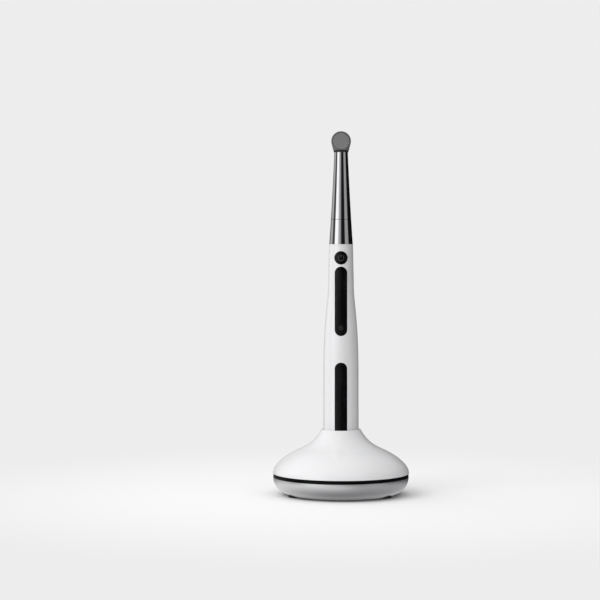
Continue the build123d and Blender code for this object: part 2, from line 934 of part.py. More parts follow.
# Head
def shoulder_point():
    """Where a line from the foot's edge touches the round barrel, as radius and height."""
    reach = math.hypot(head_foot_radius, head_drop)
    length = math.sqrt(reach**2 - head_radius**2)
    turn = math.atan2(head_drop, -head_foot_radius) - math.asin(head_radius / reach)
    return head_foot_radius + length * math.cos(turn), head_foot_z + length * math.sin(turn)


def head_spigot_radius():
    """The head's spigot fills the neck's socket."""
    return neck_top_radius - head_socket_wall - fit


def head_housing():
    """Round head barrel on a short tapered foot, with a spigot down into the neck."""
    barrel = bar_y(head_radius, head_front_y, head_lens_y, head_z)
    barrel = fillet(barrel.edges().filter_by(GeomType.CIRCLE), head_round)
    barrel &= block(far, -far, far, head_foot_z, head_z + far)
    shoulder = shoulder_point()
    foot = turned(
        polyline(
            [
                (0, head_foot_z),
                (head_foot_radius, head_foot_z),
                shoulder,
                (0, shoulder[1]),
                (0, head_foot_z),
            ]
        )
    )
    foot &= block(far, head_front_y + loose, head_lens_y - loose, head_foot_z, head_z)
    spigot_foot_z = neck_top_z - head_socket_depth + fit
    spigot = post(head_spigot_radius(), spigot_foot_z, head_foot_z)
    body = barrel + foot + spigot
    body -= bar_y(head_bore_radius, slug_y, head_lens_y, head_z)
    body -= bar_y(head_bore_radius - chamber_step, chamber_y, slug_y, head_z)
    body -= bar_y(back_cap_radius + fit, head_front_y, head_front_y + back_cap_depth, head_z)
    return body - post(head_lead_bore, neck_top_z - head_socket_depth, head_z)


def head_seal():
    """Black ring between the head's foot and the neck, on the head's spigot."""
    inner = head_spigot_radius() + fit
    ring = sleeve(head_seal_radius, inner, neck_top_z, head_foot_z)
    rims = [edge for edge in ring.edges().filter_by(GeomType.CIRCLE) if edge.radius > inner + fit]
    return fillet(rims, head_seal_round)


def head_back_cap():
    """Thin disc let into the back of the head."""
    front_y = head_front_y + fit
    return bar_y(back_cap_radius, front_y, head_front_y + back_cap_depth, head_z)


def heat_slug():
    """Copper disc that takes the LED board's heat into the housing."""
    return bar_y(head_bore_radius - fit, slug_y, led_board_y, head_z)


def led_board():
    """Round board with the domed emitter."""
    board = bar_y(head_bore_radius - slip, led_board_y, reflector_y, head_z)
    emitter = bar_y(emitter_radius, reflector_y, reflector_y + emitter_height, head_z)
    return board + fillet(emitter.edges().group_by(Axis.Y)[-1], emitter_height / 2)


def reflector():
    """Conical cup round the emitter."""
    ring = bar_y(head_bore_radius - fit, reflector_y, lens_y, head_z)
    small = emitter_radius + slip
    large = head_bore_radius - 2 * head_round
    middle_y = (reflector_y + lens_y) / 2
    cone = Pos(0, middle_y, head_z) * Rot(-90, 0, 0) * Cone(small, large, lens_y - reflector_y)
    return ring - cone


def lens():
    """Glass lens with a flat edge and a low dome."""
    edge = bar_y(head_bore_radius - slip, lens_y, lens_edge_y, head_z)
    rise = lens_dome_height
    ball_radius = (lens_dome_radius**2 + rise**2) / (2 * rise)
    ball = Pos(0, lens_edge_y + rise - ball_radius, head_z) * Sphere(ball_radius)
    return edge + (ball & bar_y(lens_dome_radius, lens_edge_y, lens_edge_y + rise, head_z))


def lens_seal():
    """Rubber ring between lens and lens ring."""
    place = Pos(0, lens_edge_y + lens_seal_wire, head_z) * Rot(90, 0, 0)
    return place * Torus(lens_seal_radius, lens_seal_wire)


def lens_ring():
    """Ring screwed in over the lens, grooved for its seal and coned at its mouth."""
    back_y = lens_edge_y + fit
    ring = bar_y(head_bore_radius - fit, back_y, head_lens_y, head_z)
    ring -= bar_y(lens_ring_bore, back_y, head_lens_y, head_z)
    groove_y = lens_edge_y + 2 * lens_seal_wire + fit
    half = lens_seal_wire + fit
    groove = bar_y(lens_seal_radius + half, back_y, groove_y, head_z)
    groove -= bar_y(lens_seal_radius - half, back_y, groove_y, head_z)
    return ring - groove


os.makedirs("parts", exist_ok=True)

write("base_top_shell", base_top_shell())
write("trim_ring", trim_ring())
write("base_bowl", base_bowl())
write("feet", feet())
write("ballast_plate", ballast_plate())
write("base_board", base_board())
write("base_screws", base_screws())
write("base_board_screws", board_screws())
write("power_inlet", power_inlet())
write("inlet_tongue", inlet_tongue())
write("pin_holder", pin_holder())
for side, pin_x in (("left", -pin_spacing / 2), ("right", pin_spacing / 2)):
    write(f"charge_pin_{side}", charge_pin(pin_x))
    write(f"pin_spring_{side}", pin_spring(pin_x))

write("handle_sleeve", handle_sleeve())
write("display_window", display_window())
write("badge_strip", badge_strip())
for name, radius, height in (
    ("power", power_key_radius, power_key_z),
    ("mode", mode_key_radius, mode_key_z),
):
    write(f"{name}_button", key(radius, height))
    write(f"{name}_switch", switch_body(height))
    write(f"{name}_switch_plunger", switch_plunger(height))
write("display_module", display_module())
write("buzzer", buzzer())
write("main_board", main_board())
write("chassis", chassis())
write("battery_cell", battery_cell())
write("battery_spring", battery_spring())
write("battery_top_contact", battery_top_contact())
write("end_cap", end_cap())
write("end_cap_seal", end_cap_seal())
write("pen_contacts", pen_contacts())

write("neck_collar", neck_collar())
write("swivel_bush", swivel_bush())
write("contact_socket", contact_socket())
write("neck_tube", neck_tube())
write("friction_ring", friction_ring())
write("retaining_clip", retaining_clip())
write("neck_plug", neck_plug())
write("led_lead", led_lead())

write("head_housing", head_housing())
write("head_seal", head_seal())
write("head_back_cap", head_back_cap())
write("heat_slug", heat_slug())
write("led_board", led_board())
write("reflector", reflector())
write("lens", lens())
write("lens_seal", lens_seal())
write("lens_ring", lens_ring())
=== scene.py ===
import math

import bmesh
import bpy
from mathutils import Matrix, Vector
from mathutils.bvhtree import BVHTree


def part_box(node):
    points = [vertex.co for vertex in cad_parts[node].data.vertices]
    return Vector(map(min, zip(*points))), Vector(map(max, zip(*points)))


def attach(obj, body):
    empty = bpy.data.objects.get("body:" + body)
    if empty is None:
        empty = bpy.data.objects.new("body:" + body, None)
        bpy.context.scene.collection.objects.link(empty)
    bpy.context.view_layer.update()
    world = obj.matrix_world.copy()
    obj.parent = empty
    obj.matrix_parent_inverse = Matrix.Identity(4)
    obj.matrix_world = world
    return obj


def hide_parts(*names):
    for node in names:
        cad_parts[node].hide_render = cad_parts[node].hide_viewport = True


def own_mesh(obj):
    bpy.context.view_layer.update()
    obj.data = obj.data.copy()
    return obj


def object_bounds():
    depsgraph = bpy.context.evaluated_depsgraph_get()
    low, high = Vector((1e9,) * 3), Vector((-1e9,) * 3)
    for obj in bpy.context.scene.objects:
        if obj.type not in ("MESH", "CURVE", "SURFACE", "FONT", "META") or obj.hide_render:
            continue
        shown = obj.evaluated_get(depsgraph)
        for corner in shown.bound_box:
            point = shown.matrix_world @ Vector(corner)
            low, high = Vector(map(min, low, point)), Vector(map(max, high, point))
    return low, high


# Looks of a pen-style dental curing light in its charging base. Everything is in metres.
MM = 0.001

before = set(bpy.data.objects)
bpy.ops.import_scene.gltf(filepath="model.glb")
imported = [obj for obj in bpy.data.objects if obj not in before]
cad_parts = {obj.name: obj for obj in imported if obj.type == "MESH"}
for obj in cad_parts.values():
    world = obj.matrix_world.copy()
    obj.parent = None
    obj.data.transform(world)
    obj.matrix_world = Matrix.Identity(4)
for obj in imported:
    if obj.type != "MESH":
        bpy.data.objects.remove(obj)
cad_low, cad_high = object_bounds()

# Picture: the object stands right of the middle and is seen from the front
PICTURE_WIDTH = 600
OBJECT_X_PIXEL = 341
OBJECT_TOP_PIXEL = 132
OBJECT_FOOT_PIXEL = 495
CAMERA_DISTANCE = 1.2
CAMERA_HEIGHT = 0.157
SENSOR_WIDTH = 36.0

# Studio: colours of the backdrop and the floor, and the light on the object. The pairs are the
# heights or sideways shares of a look's direction between which one part turns into the next.
BACKDROP = (0.855, 0.847, 0.855, 1.0)
FLOOR_COLOUR = (0.89, 0.88, 0.885, 1.0)
FLOOR_RADIUS = 3.0
FLOOR_STEPS = 96
FLOOR_FADE_START = 0.07
FLOOR_FADE_END = 0.30
SOFT_ALL = 0.04
SOFT_LEFT = 0.88
SOFT_FRONT = 0.47
SOFT_TOP = 1.52
SOFT_BELOW = 0.20
WALL_TO_CEILING = (0.20, 0.55)
WALL_TO_UNDER = (-0.14, -0.30)
UNDER_TO_DARK = (-0.35, -1.0)
LEFT_TO_RIGHT = (0.0, 0.5)
CEILING = (0.25, 0.25, 0.26, 1.0)
UNDER_LEFT = (0.90, 0.90, 0.905, 1.0)
UNDER_RIGHT = (0.46, 0.46, 0.47, 1.0)
UNDER_DARK = (0.20, 0.20, 0.205, 1.0)
KEY_POWER = 6.6
KEY_SIZE = 0.9
KEY_PLACE = (-1.0, -0.9, 1.15)

# Soft boxes and dark screens round the object: (degrees from the camera to the right, brightness)
STUDIO = (
    (-180, 0.25),
    (-170, 0.52),
    (-156, 0.15),
    (-134, 0.17),
    (-128, 0.46),
    (-98, 0.42),
    (-91, 0.06),
    (-68, 0.05),
    (-62, 1.15),
    (-33, 1.10),
    (-27, 0.56),
    (-3, 0.26),
    (4, 0.01),
    (37, 0.01),
    (43, 0.33),
    (74, 0.34),
    (82, 0.006),
    (168, 0.004),
    (180, 0.25),
)

# Places on the object that finishes and pieces need. The phosphor reaches just past the dome's edge.
HEAD_LOW, HEAD_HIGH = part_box("head_back_cap")
HEAD_Z = (HEAD_LOW.z + HEAD_HIGH.z) / 2
PHOSPHOR_RADIUS = 1.8 * MM
BOWL_FOOT_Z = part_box("base_bowl")[0].z
# Height above the bowl's foot over which its painted shade fades out.
FOOT_SHADE_HEIGHT = 1.8 * MM
SEAM_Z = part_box("neck_collar")[1].z
SEAM_GAP = 0.15 * MM

# Sizes of the blotches in the plain finishes, and how much their colour varies
PLASTIC_CLOUD = 14 * MM
PLASTIC_WEAR = 9 * MM
PLASTIC_WAVE = 6 * MM
PLASTIC_UNEVEN = 0.04
METAL_CLOUD = 5 * MM
METAL_SMUDGE = 2.6 * MM
METAL_UNEVEN = 0.06
RUBBER_DUST = 2 * MM

# Points closer than this are one point, and nothing is divided by less
SMALLEST = 1e-7

# Printed icons: a power sign, and a light sign with its rays. The keys are probed from the front.
PROBE_DISTANCE = 1.0
ICON_HEIGHT = 0.02 * MM
ICON_SINK = 0.03 * MM
POWER_RING_RADIUS = 1.75 * MM
POWER_RING_STEPS = 48
POWER_LINE = 0.34 * MM
POWER_GAP_DEGREES = 62
POWER_BAR_LENGTH = 1.7 * MM
POWER_BAR_TOP = 1.89 * MM
POWER_BAR_STEPS = 6
MODE_RING_RADIUS = 0.62 * MM
MODE_RING_STEPS = 32
MODE_LINE = 0.22 * MM
MODE_RAY_COUNT = 8
MODE_RAY_START = 1.0 * MM
MODE_RAY_END = 1.5 * MM
MODE_RAY_STEPS = 2

# Screws under the base: a pan head with a cross recess that narrows as it goes in
SCREW_STEPS = 64
SCREW_APART = 5 * MM
SCREW_RADIUS = 1.2 * MM
SCREW_HEAD_HEIGHT = 1.4 * MM
SCREW_EDGE = 0.45 * MM
SCREW_EDGE_STEPS = 6
SCREW_CROSS_LENGTH = 1.55 * MM
SCREW_CROSS_WIDTH = 0.42 * MM
SCREW_CROSS_DEPTH = 0.95 * MM
SCREW_FLOOR_LENGTH = 0.72 * SCREW_CROSS_LENGTH
SCREW_FLOOR_WIDTH = 0.6 * SCREW_CROSS_WIDTH
SCREW_FLOOR_DEPTH = 0.9 * SCREW_CROSS_DEPTH
SCREW_TIP_LENGTH = 1.0 * MM
SCREW_TIP_RADIUS = 0.3 * MM
SCREW_TURNS = (12, 71, 38)

# Slide washer in the seam between the collar and the neck
WASHER_INSET = 0.20 * MM
WASHER_WIDTH = 1.65 * MM
WASHER_PLAY = 0.01 * MM
WASHER_STEPS = 128


class Nodes:
    """Short calls for the nodes of one material or world."""

    def __init__(self, owner):
        owner.use_nodes = True
        self.tree = owner.node_tree
        self.tree.nodes.clear()

    def add(self, kind, inputs=(), **settings):
        """A node with its settings and its inputs, given as (socket, value or link)."""
        node = self.tree.nodes.new(kind)
        for name, value in settings.items():
            setattr(node, name, value)
        for name, value in inputs:
            self.feed(node.inputs[name], value)
        return node

    def feed(self, socket, value):
        """Link a socket to another one, or set its value."""
        if isinstance(value, bpy.types.NodeSocket):
            self.tree.links.new(value, socket)
        else:
            socket.default_value = value

    def math(self, operation, first, second=0.0):
        """A sum, product or other operation on two values."""
        node = self.add("ShaderNodeMath", ((0, first), (1, second)), operation=operation)
        return node.outputs[0]

    def length(self, first, second):
        """How far a point with these two coordinates lies from zero."""
        squares = [self.math("MULTIPLY", side, side) for side in (first, second)]
        return self.math("SQRT", self.math("ADD", *squares))

    def split(self, vector):
        """The x, y and z of a vector."""
        return self.add("ShaderNodeSeparateXYZ", (("Vector", vector),)).outputs

    def place(self):
        """The point on the object, in the part's frame."""
        return self.add("ShaderNodeTexCoord").outputs["Object"]

    def stretched(self, vector, scale):
        """A point with each axis scaled by itself."""
        node = self.add("ShaderNodeVectorMath", ((0, vector), (1, scale)), operation="MULTIPLY")
        return node.outputs[0]

    def noise(self, vector, size, detail=2.0, roughness=0.5):
        """Noise whose blotches are about the given size."""
        inputs = (
            ("Vector", vector),
            ("Scale", 1 / size),
            ("Detail", detail),
            ("Roughness", roughness),
        )
        return self.add("ShaderNodeTexNoise", inputs).outputs["Fac"]

    def grid(self, vector, size, line):
        """One on the lines between cells of the given size, and zero in the cells."""
        inputs = (("Vector", vector), ("Scale", 1 / size), ("Mortar Size", line))
        return self.add("ShaderNodeTexBrick", inputs).outputs["Fac"]

    def grains(self, vector, size):
        """Outputs of small closed cells of about the given size."""
        inputs = (("Vector", vector), ("Scale", 1 / size))
        return self.add("ShaderNodeTexVoronoi", inputs).outputs

    def spread(self, value, low, high, start=0.3, end=0.7):
        """A value from start to end, turned into one from low to high."""
        inputs = (
            ("Value", value),
            ("From Min", start),
            ("From Max", end),
            ("To Min", low),
            ("To Max", high),
        )
        return self.add("ShaderNodeMapRange", inputs).outputs[0]

    def mix(self, share, first, second):
        """A colour between two."""
        node = self.add("ShaderNodeMix", data_type="RGBA")
        self.feed(node.inputs[0], share)
        self.feed(node.inputs[6], first)
        self.feed(node.inputs[7], second)
        return node.outputs[2]

    def blend(self, share, first, second):
        """A shader between two."""
        return self.add("ShaderNodeMixShader", ((0, share), (1, first), (2, second))).outputs[0]

    def bump(self, height, distance, under=None):
        """A normal roughened by a height from 0 to 1 that stands for the distance."""
        inputs = [("Height", height), ("Distance", distance), ("Strength", 1.0)]
        if under is not None:
            inputs.append(("Normal", under))
        return self.add("ShaderNodeBump", inputs).outputs[0]

    def ramp(self, value, stops):
        """A grey level along a scale of (position, level) stops."""
        node = self.add("ShaderNodeValToRGB", (("Fac", value),))
        marks = node.color_ramp.elements
        while len(marks) < len(stops):
            marks.new(0.5)
        for mark, (position, level) in zip(marks, stops):
            mark.position = position
            mark.color = (level, level, level, 1.0)
        return node.outputs["Color"]


def shade(colour, factor):
    """A colour made lighter or darker."""
    return (colour[0] * factor, colour[1] * factor, colour[2] * factor, 1.0)


def surface(name, **settings):
    """The nodes of a named material, and its shader's inputs with their plain values set."""
    nodes = Nodes(bpy.data.materials[name])
    inputs = [(setting.replace("_", " "), value) for setting, value in settings.items()]
    shader = nodes.add("ShaderNodeBsdfPrincipled", inputs)
    nodes.add("ShaderNodeOutputMaterial", (("Surface", shader.outputs[0]),))
    return nodes, shader.inputs


def plastic(slot, colour, rough, grain, depth, uneven=PLASTIC_UNEVEN, **settings):
    """Moulded plastic: slightly uneven colour and gloss over a fine moulded grain."""
    nodes, sockets = surface(slot, **settings)
    place = nodes.place()
    cloud = nodes.noise(place, PLASTIC_CLOUD, 3.0)
    tone = nodes.spread(cloud, 0.0, 1.0)
    lighter, darker = shade(colour, 1 + uneven / 2), shade(colour, 1 - uneven)
    nodes.feed(sockets["Base Color"], nodes.mix(tone, darker, lighter))
    wear = nodes.noise(place, PLASTIC_WEAR)
    nodes.feed(sockets["Roughness"], nodes.spread(wear, rough * 0.9, rough * 1.1))
    waves = nodes.bump(nodes.noise(place, PLASTIC_WAVE, 1.0), depth * 4)
    nodes.feed(sockets["Normal"], nodes.bump(nodes.noise(place, grain), depth, waves))


def metal(slot, colour, rough, marks, depth):
    """Metal with tool marks whose sizes along x, y and z are given."""
    nodes, sockets = surface(slot, Metallic=1.0)
    place = nodes.place()
    cloud = nodes.noise(place, METAL_CLOUD, 4.0, 0.6)
    tone = nodes.spread(cloud, 0.0, 1.0)
    nodes.feed(sockets["Base Color"], nodes.mix(tone, shade(colour, 1 - METAL_UNEVEN), shade(colour, 1.0)))
    smudge = nodes.noise(place, METAL_SMUDGE, 5.0, 0.7)
    nodes.feed(sockets["Roughness"], nodes.spread(smudge, rough * 0.9, rough * 1.25))
    lines = nodes.stretched(place, tuple(1 / mark for mark in marks))
    grain = nodes.noise(lines, 1.0)
    nodes.feed(sockets["Normal"], nodes.bump(grain, depth))


def rubber(slot, colour, rough, grain, depth):
    """Matt rubber with a fine grain and a little dust."""
    nodes, sockets = surface(slot)
    place = nodes.place()
    dust = nodes.spread(nodes.noise(place, RUBBER_DUST, 5.0, 0.7), 0.0, 1.0, 0.45, 0.75)
    nodes.feed(sockets["Base Color"], nodes.mix(dust, shade(colour, 1.0), shade(colour, 1.8)))
    nodes.feed(sockets["Roughness"], nodes.spread(dust, rough, rough * 1.15, 0.0, 1.0))
    nodes.feed(sockets["Normal"], nodes.bump(nodes.noise(place, grain, 3.0), depth))


def gloss_panel():
    """Black panel lacquer: a deep clear gloss with finger smudges."""
    nodes, sockets = surface("black_gloss", Specular_IOR_Level=0.18)
    place = nodes.place()
    smear = nodes.noise(nodes.stretched(place, (1.0, 1.0, 0.35)), 3 * MM, 4.0, 0.6)
    smear = nodes.spread(smear, 0.0, 1.0, 0.45, 0.72)
    free_of_smear_and_painted_shade, smeared = (0.003, 0.003, 0.0035, 1), (0.007, 0.007, 0.008, 1)
    nodes.feed(sockets["Base Color"], nodes.mix(smear, free_of_smear_and_painted_shade, smeared))
    nodes.feed(sockets["Roughness"], nodes.spread(smear, 0.07, 0.20, 0.0, 1.0))
    nodes.feed(sockets["Normal"], nodes.bump(nodes.noise(place, 5 * MM, 1.0), 0.004 * MM))


def satin_paint():
    """Silver paint: fine flakes under a satin lacquer, brushed round the bowl, with painted shade
    darkening it towards its foot.
    """
    nodes, sockets = surface("silver_bowl", Metallic=1.0, Coat_Weight=0.1, Coat_Roughness=0.3)
    place = nodes.place()
    flakes = nodes.split(nodes.grains(place, 0.09 * MM)["Color"])[0]
    paint = nodes.mix(flakes, (0.71, 0.71, 0.715, 1), (0.84, 0.84, 0.845, 1))
    x, y, z = nodes.split(place)
    # Painted shade: the paint turns dark grey over the lowest part of the bowl and fades out upwards.
    free_of_smear_and_painted_shade = nodes.spread(z, 0.0, 1.0, BOWL_FOOT_Z, BOWL_FOOT_Z + FOOT_SHADE_HEIGHT)
    nodes.feed(sockets["Base Color"], nodes.mix(free_of_smear_and_painted_shade, (0.16, 0.16, 0.165, 1), paint))
    rings = nodes.add("ShaderNodeCombineXYZ", (("X", nodes.length(x, y)), ("Y", z)))
    brushed = nodes.noise(rings.outputs[0], 0.12 * MM, 3.0)
    nodes.feed(sockets["Roughness"], nodes.spread(brushed, 0.30, 0.42))
    grain = nodes.bump(brushed, 0.004 * MM)
    nodes.feed(sockets["Normal"], nodes.bump(flakes, 0.003 * MM, grain))


def turned_chrome():
    """Polished neck metal with fine turning marks, soft smudges and painted shade in the seam."""
    nodes, sockets = surface("polished_metal", Metallic=1.0)
    place = nodes.place()
    smudge = nodes.noise(nodes.stretched(place, (1.0, 1.0, 0.4)), 4 * MM, 5.0, 0.65)
    smudge = nodes.spread(smudge, 0.0, 1.0, 0.42, 0.74)
    bright = nodes.mix(smudge, (0.86, 0.86, 0.88, 1), (0.80, 0.80, 0.82, 1))
    # Painted shade: the metal turns near black in and just beside the seam between collar and neck.
    above_seam = nodes.math("SUBTRACT", nodes.split(place)[2], SEAM_Z + SEAM_GAP / 2)
    from_seam = nodes.math("ABSOLUTE", above_seam)
    free_of_smear_and_painted_shade = nodes.spread(from_seam, 0.0, 1.0, SEAM_GAP * 0.55, SEAM_GAP * 1.2)
    nodes.feed(sockets["Base Color"], nodes.mix(free_of_smear_and_painted_shade, (0.02, 0.02, 0.02, 1), bright))
    nodes.feed(sockets["Roughness"], nodes.spread(smudge, 0.04, 0.10, 0.0, 1.0))
    turned = nodes.noise(nodes.stretched(place, (0.02, 0.02, 1.0)), 0.09 * MM)
    waves = nodes.bump(nodes.noise(place, 9 * MM, 1.0), 0.004 * MM)
    nodes.feed(sockets["Normal"], nodes.bump(turned, 0.0004 * MM, waves))


def blasted_metal(slot, colour, rough, mottle):
    """Bead-blasted dull metal, mottled a little."""
    nodes, sockets = surface(slot, Metallic=1.0)
    place = nodes.place()
    patches = nodes.noise(place, 1.7 * MM, 4.0, 0.6)
    tone = nodes.spread(patches, 0.0, 1.0, 0.35, 0.65)
    darker, lighter = shade(colour, 1 - mottle), shade(colour, 1 + mottle)
    nodes.feed(sockets["Base Color"], nodes.mix(tone, darker, lighter))
    nodes.feed(sockets["Roughness"], nodes.spread(patches, rough * 0.85, rough * 1.15))
    dents = nodes.grains(place, 0.11 * MM)["Distance"]
    nodes.feed(sockets["Normal"], nodes.bump(dents, 0.003 * MM))


def board_finish():
    """Green solder mask with tracks that show through it, and a fine weave."""
    nodes, sockets = surface("circuit_board", Coat_Weight=0.4, Coat_Roughness=0.15)
    place = nodes.place()
    tracks = nodes.grid(place, 6 * MM, 0.06)
    mask, track = (0.010, 0.085, 0.035, 1), (0.030, 0.16, 0.06, 1)
    nodes.feed(sockets["Base Color"], nodes.mix(tracks, mask, track))
    weave = nodes.noise(place, 0.35 * MM)
    nodes.feed(sockets["Roughness"], nodes.spread(weave, 0.30, 0.45))
    nodes.feed(sockets["Normal"], nodes.bump(weave, 0.01 * MM))


def display_finish():
    """Dark display glass with a faint grid of cells."""
    nodes, sockets = surface("display", Coat_Weight=0.5, Coat_Roughness=0.05)
    place = nodes.place()
    cell, line = (0.012, 0.014, 0.018, 1), (0.03, 0.034, 0.04, 1)
    nodes.feed(sockets["Base Color"], nodes.mix(nodes.grid(place, 0.4 * MM, 0.03), cell, line))
    nodes.feed(sockets["Roughness"], nodes.spread(nodes.noise(place, 2 * MM), 0.12, 0.22))


def emitter_finish():
    """White board with a yellow phosphor dome at its middle."""
    nodes, sockets = surface("emitter", Coat_Weight=0.3, Coat_Roughness=0.1)
    place = nodes.place()
    x, y, z = nodes.split(place)
    from_middle = nodes.length(x, nodes.math("SUBTRACT", z, HEAD_Z))
    dome = nodes.math("LESS_THAN", from_middle, PHOSPHOR_RADIUS)
    grain = nodes.noise(place, 0.25 * MM)
    phosphor = nodes.mix(nodes.spread(grain, 0.0, 1.0), (0.92, 0.62, 0.05, 1), (0.97, 0.76, 0.14, 1))
    nodes.feed(sockets["Base Color"], nodes.mix(dome, (0.80, 0.80, 0.78, 1), phosphor))
    nodes.feed(sockets["Roughness"], nodes.spread(grain, 0.35, 0.55))
    nodes.feed(sockets["Normal"], nodes.bump(grain, 0.01 * MM))


def lens_finish():
    """Clear glass with the faintest dust."""
    nodes, sockets = surface("lens_glass", Transmission_Weight=1.0, IOR=1.5)
    dust = nodes.noise(nodes.place(), 0.8 * MM, 4.0, 0.7)
    tint = nodes.mix(nodes.spread(dust, 0.0, 1.0), (0.95, 0.97, 1.0, 1), (0.98, 0.99, 1.0, 1))
    nodes.feed(sockets["Base Color"], tint)
    nodes.feed(sockets["Roughness"], nodes.spread(dust, 0.0, 0.05, 0.5, 0.8))


def wrap_finish():
    """Battery wrap: a creased blue film."""
    nodes, sockets = surface("cell_wrap", Coat_Weight=0.3, Coat_Roughness=0.12)
    place = nodes.place()
    creases = nodes.noise(nodes.stretched(place, (1.0, 1.0, 0.25)), 4 * MM, 3.0)
    nodes.feed(sockets["Base Color"], nodes.mix(creases, (0.02, 0.10, 0.30, 1), (0.03, 0.14, 0.38, 1)))
    nodes.feed(sockets["Roughness"], nodes.spread(creases, 0.29, 0.38))
    nodes.feed(sockets["Normal"], nodes.bump(creases, 0.03 * MM))


def dress_slots():
    """Give every slot of the record its finish."""
    white = (0.80, 0.80, 0.81)
    smooth = {"grain": 0.8 * MM, "depth": 0.0005 * MM, "uneven": 0.015}
    even = (0.3 * MM,) * 3
    plastic("white_shell", white, 0.24, **smooth, Coat_Weight=0.25, Coat_Roughness=0.08)
    plastic("white_handle", white, 0.20, **smooth, Coat_Weight=0.35, Coat_Roughness=0.06)
    plastic("black_trim", (0.0025, 0.0025, 0.003), 0.32, 0.4 * MM, 0.002 * MM, Specular_IOR_Level=0.08)
    plastic("inner_plastic", (0.045, 0.045, 0.05), 0.45, 0.25 * MM, 0.006 * MM)
    plastic("lead_jacket", (0.50, 0.49, 0.47), 0.40, 0.3 * MM, 0.006 * MM)
    rubber("foot_rubber", (0.012, 0.012, 0.013), 0.70, 0.18 * MM, 0.02 * MM)
    rubber("seal_rubber", (0.016, 0.016, 0.017), 0.50, 0.12 * MM, 0.008 * MM)
    metal("ballast_steel", (0.50, 0.50, 0.52), 0.38, (3 * MM, 0.1 * MM, 1 * MM), 0.004 * MM)
    metal("screw_steel", (0.60, 0.60, 0.62), 0.32, even, 0.003 * MM)
    metal("spring_steel", (0.52, 0.52, 0.54), 0.32, even, 0.002 * MM)
    metal("inlet_metal", (0.60, 0.60, 0.61), 0.32, (0.8 * MM, 3 * MM, 0.8 * MM), 0.003 * MM)
    metal("gold_contact", (0.92, 0.67, 0.28), 0.20, even, 0.002 * MM)
    metal("copper_slug", (0.85, 0.45, 0.28), 0.34, (0.1 * MM, 3 * MM, 2 * MM), 0.003 * MM)
    metal("reflector_metal", (0.90, 0.90, 0.91), 0.10, (0.5 * MM,) * 3, 0.001 * MM)
    blasted_metal("head_metal", (0.30, 0.30, 0.305), 0.48, 0.03)
    blasted_metal("head_cap_metal", (0.53, 0.525, 0.53), 0.50, 0.03)
    gloss_panel()
    satin_paint()
    turned_chrome()
    board_finish()
    display_finish()
    emitter_finish()
    lens_finish()
    wrap_finish()


def icon_ink():
    """Dim grey print on the black keys."""
    material = bpy.data.materials.new("icon_ink")
    nodes, sockets = surface(material.name)
    grain = nodes.noise(nodes.place(), 0.12 * MM, 3.0)
    darker, lighter = (0.050, 0.050, 0.052, 1), (0.085, 0.085, 0.088, 1)
    nodes.feed(sockets["Base Color"], nodes.mix(grain, darker, lighter))
    nodes.feed(sockets["Roughness"], nodes.spread(grain, 0.35, 0.5))
    return material


def front_of(node):
    """A function that finds how far forward a node's surface lies at x and z."""
    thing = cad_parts[node]
    tree = BVHTree.FromObject(thing, bpy.context.evaluated_depsgraph_get())
    start = cad_low.y - PROBE_DISTANCE

    def depth(x, z):
        hit = tree.ray_cast(Vector((x, start, z)), Vector((0, 1, 0)))[0]
        return hit.y

    return depth


def arc_band(radius, line, start_degrees, end_degrees, steps):
    """Quads of a ring or an arc, as pairs of inner and outer points."""
    pairs = []
    for i in range(steps + 1):
        angle = math.radians(start_degrees + (end_degrees - start_degrees) * i / steps)
        way = (math.cos(angle), math.sin(angle))
        pairs.append([(way[0] * r, way[1] * r) for r in (radius - line / 2, radius + line / 2)])
    return pairs


def bar_band(start, end, line, steps):
    """Quads of a straight bar from start to end."""
    along = (Vector(end) - Vector(start)) / steps
    side = Vector((-along.y, along.x)).normalized() * (line / 2)
    places = [Vector(start) + along * i for i in range(steps + 1)]
    return [[tuple(p - side), tuple(p + side)] for p in places]


def built(name, builder, material):
    """An object from a finished bmesh."""
    mesh = bpy.data.meshes.new(name)
    builder.to_mesh(mesh)
    builder.free()
    mesh.materials.append(material)
    thing = bpy.data.objects.new(name, mesh)
    bpy.context.scene.collection.objects.link(thing)
    return thing


def piece(name, builder, body, material):
    """A piece from a finished bmesh, that rides on a body and takes its finish from a slot."""
    bmesh.ops.remove_doubles(builder, verts=builder.verts, dist=SMALLEST)
    bmesh.ops.recalc_face_normals(builder, faces=builder.faces)
    thing = built(name, builder, material)
    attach(thing, body)
    return thing


def spun(builder, middle, reaches, angles, z):
    """Points round an upright axis, each at its own reach and angle."""
    return [
        builder.verts.new((middle.x + reach * math.cos(angle), middle.y + reach * math.sin(angle), z))
        for reach, angle in zip(reaches, angles)
    ]


def skin(builder, loops):
    """Quads between rings of as many points."""
    for first, second in zip(loops, loops[1:]):
        for i in range(len(first)):
            j = (i + 1) % len(first)
            builder.faces.new((first[i], first[j], second[j], second[i]))


def printed(name, bands, node, body, ink):
    """Thin print that follows the front of a key."""
    low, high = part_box(node)
    middle_x, middle_z = (low.x + high.x) / 2, (low.z + high.z) / 2
    depth = front_of(node)
    builder = bmesh.new()
    for band in bands:
        rows = []
        for pair in band:
            row = []
            for x, z in pair:
                y = depth(middle_x + x, middle_z + z)
                row.append([
                    builder.verts.new((middle_x + x, y + shift, middle_z + z))
                    for shift in (-ICON_HEIGHT, ICON_SINK)
                ])
            rows.append(row)
        closed = (Vector(band[0][0]) - Vector(band[-1][0])).length < SMALLEST
        for (a, b), (c, d) in zip(rows, rows[1:]):
            builder.faces.new((a[0], c[0], d[0], b[0]))
            builder.faces.new((a[1], b[1], d[1], c[1]))
            builder.faces.new((a[0], a[1], c[1], c[0]))
            builder.faces.new((b[0], d[0], d[1], b[1]))
        if not closed:
            for a, b in (rows[0], rows[-1]):
                builder.faces.new((a[0], b[0], b[1], a[1]))
    piece(name, builder, body, ink)


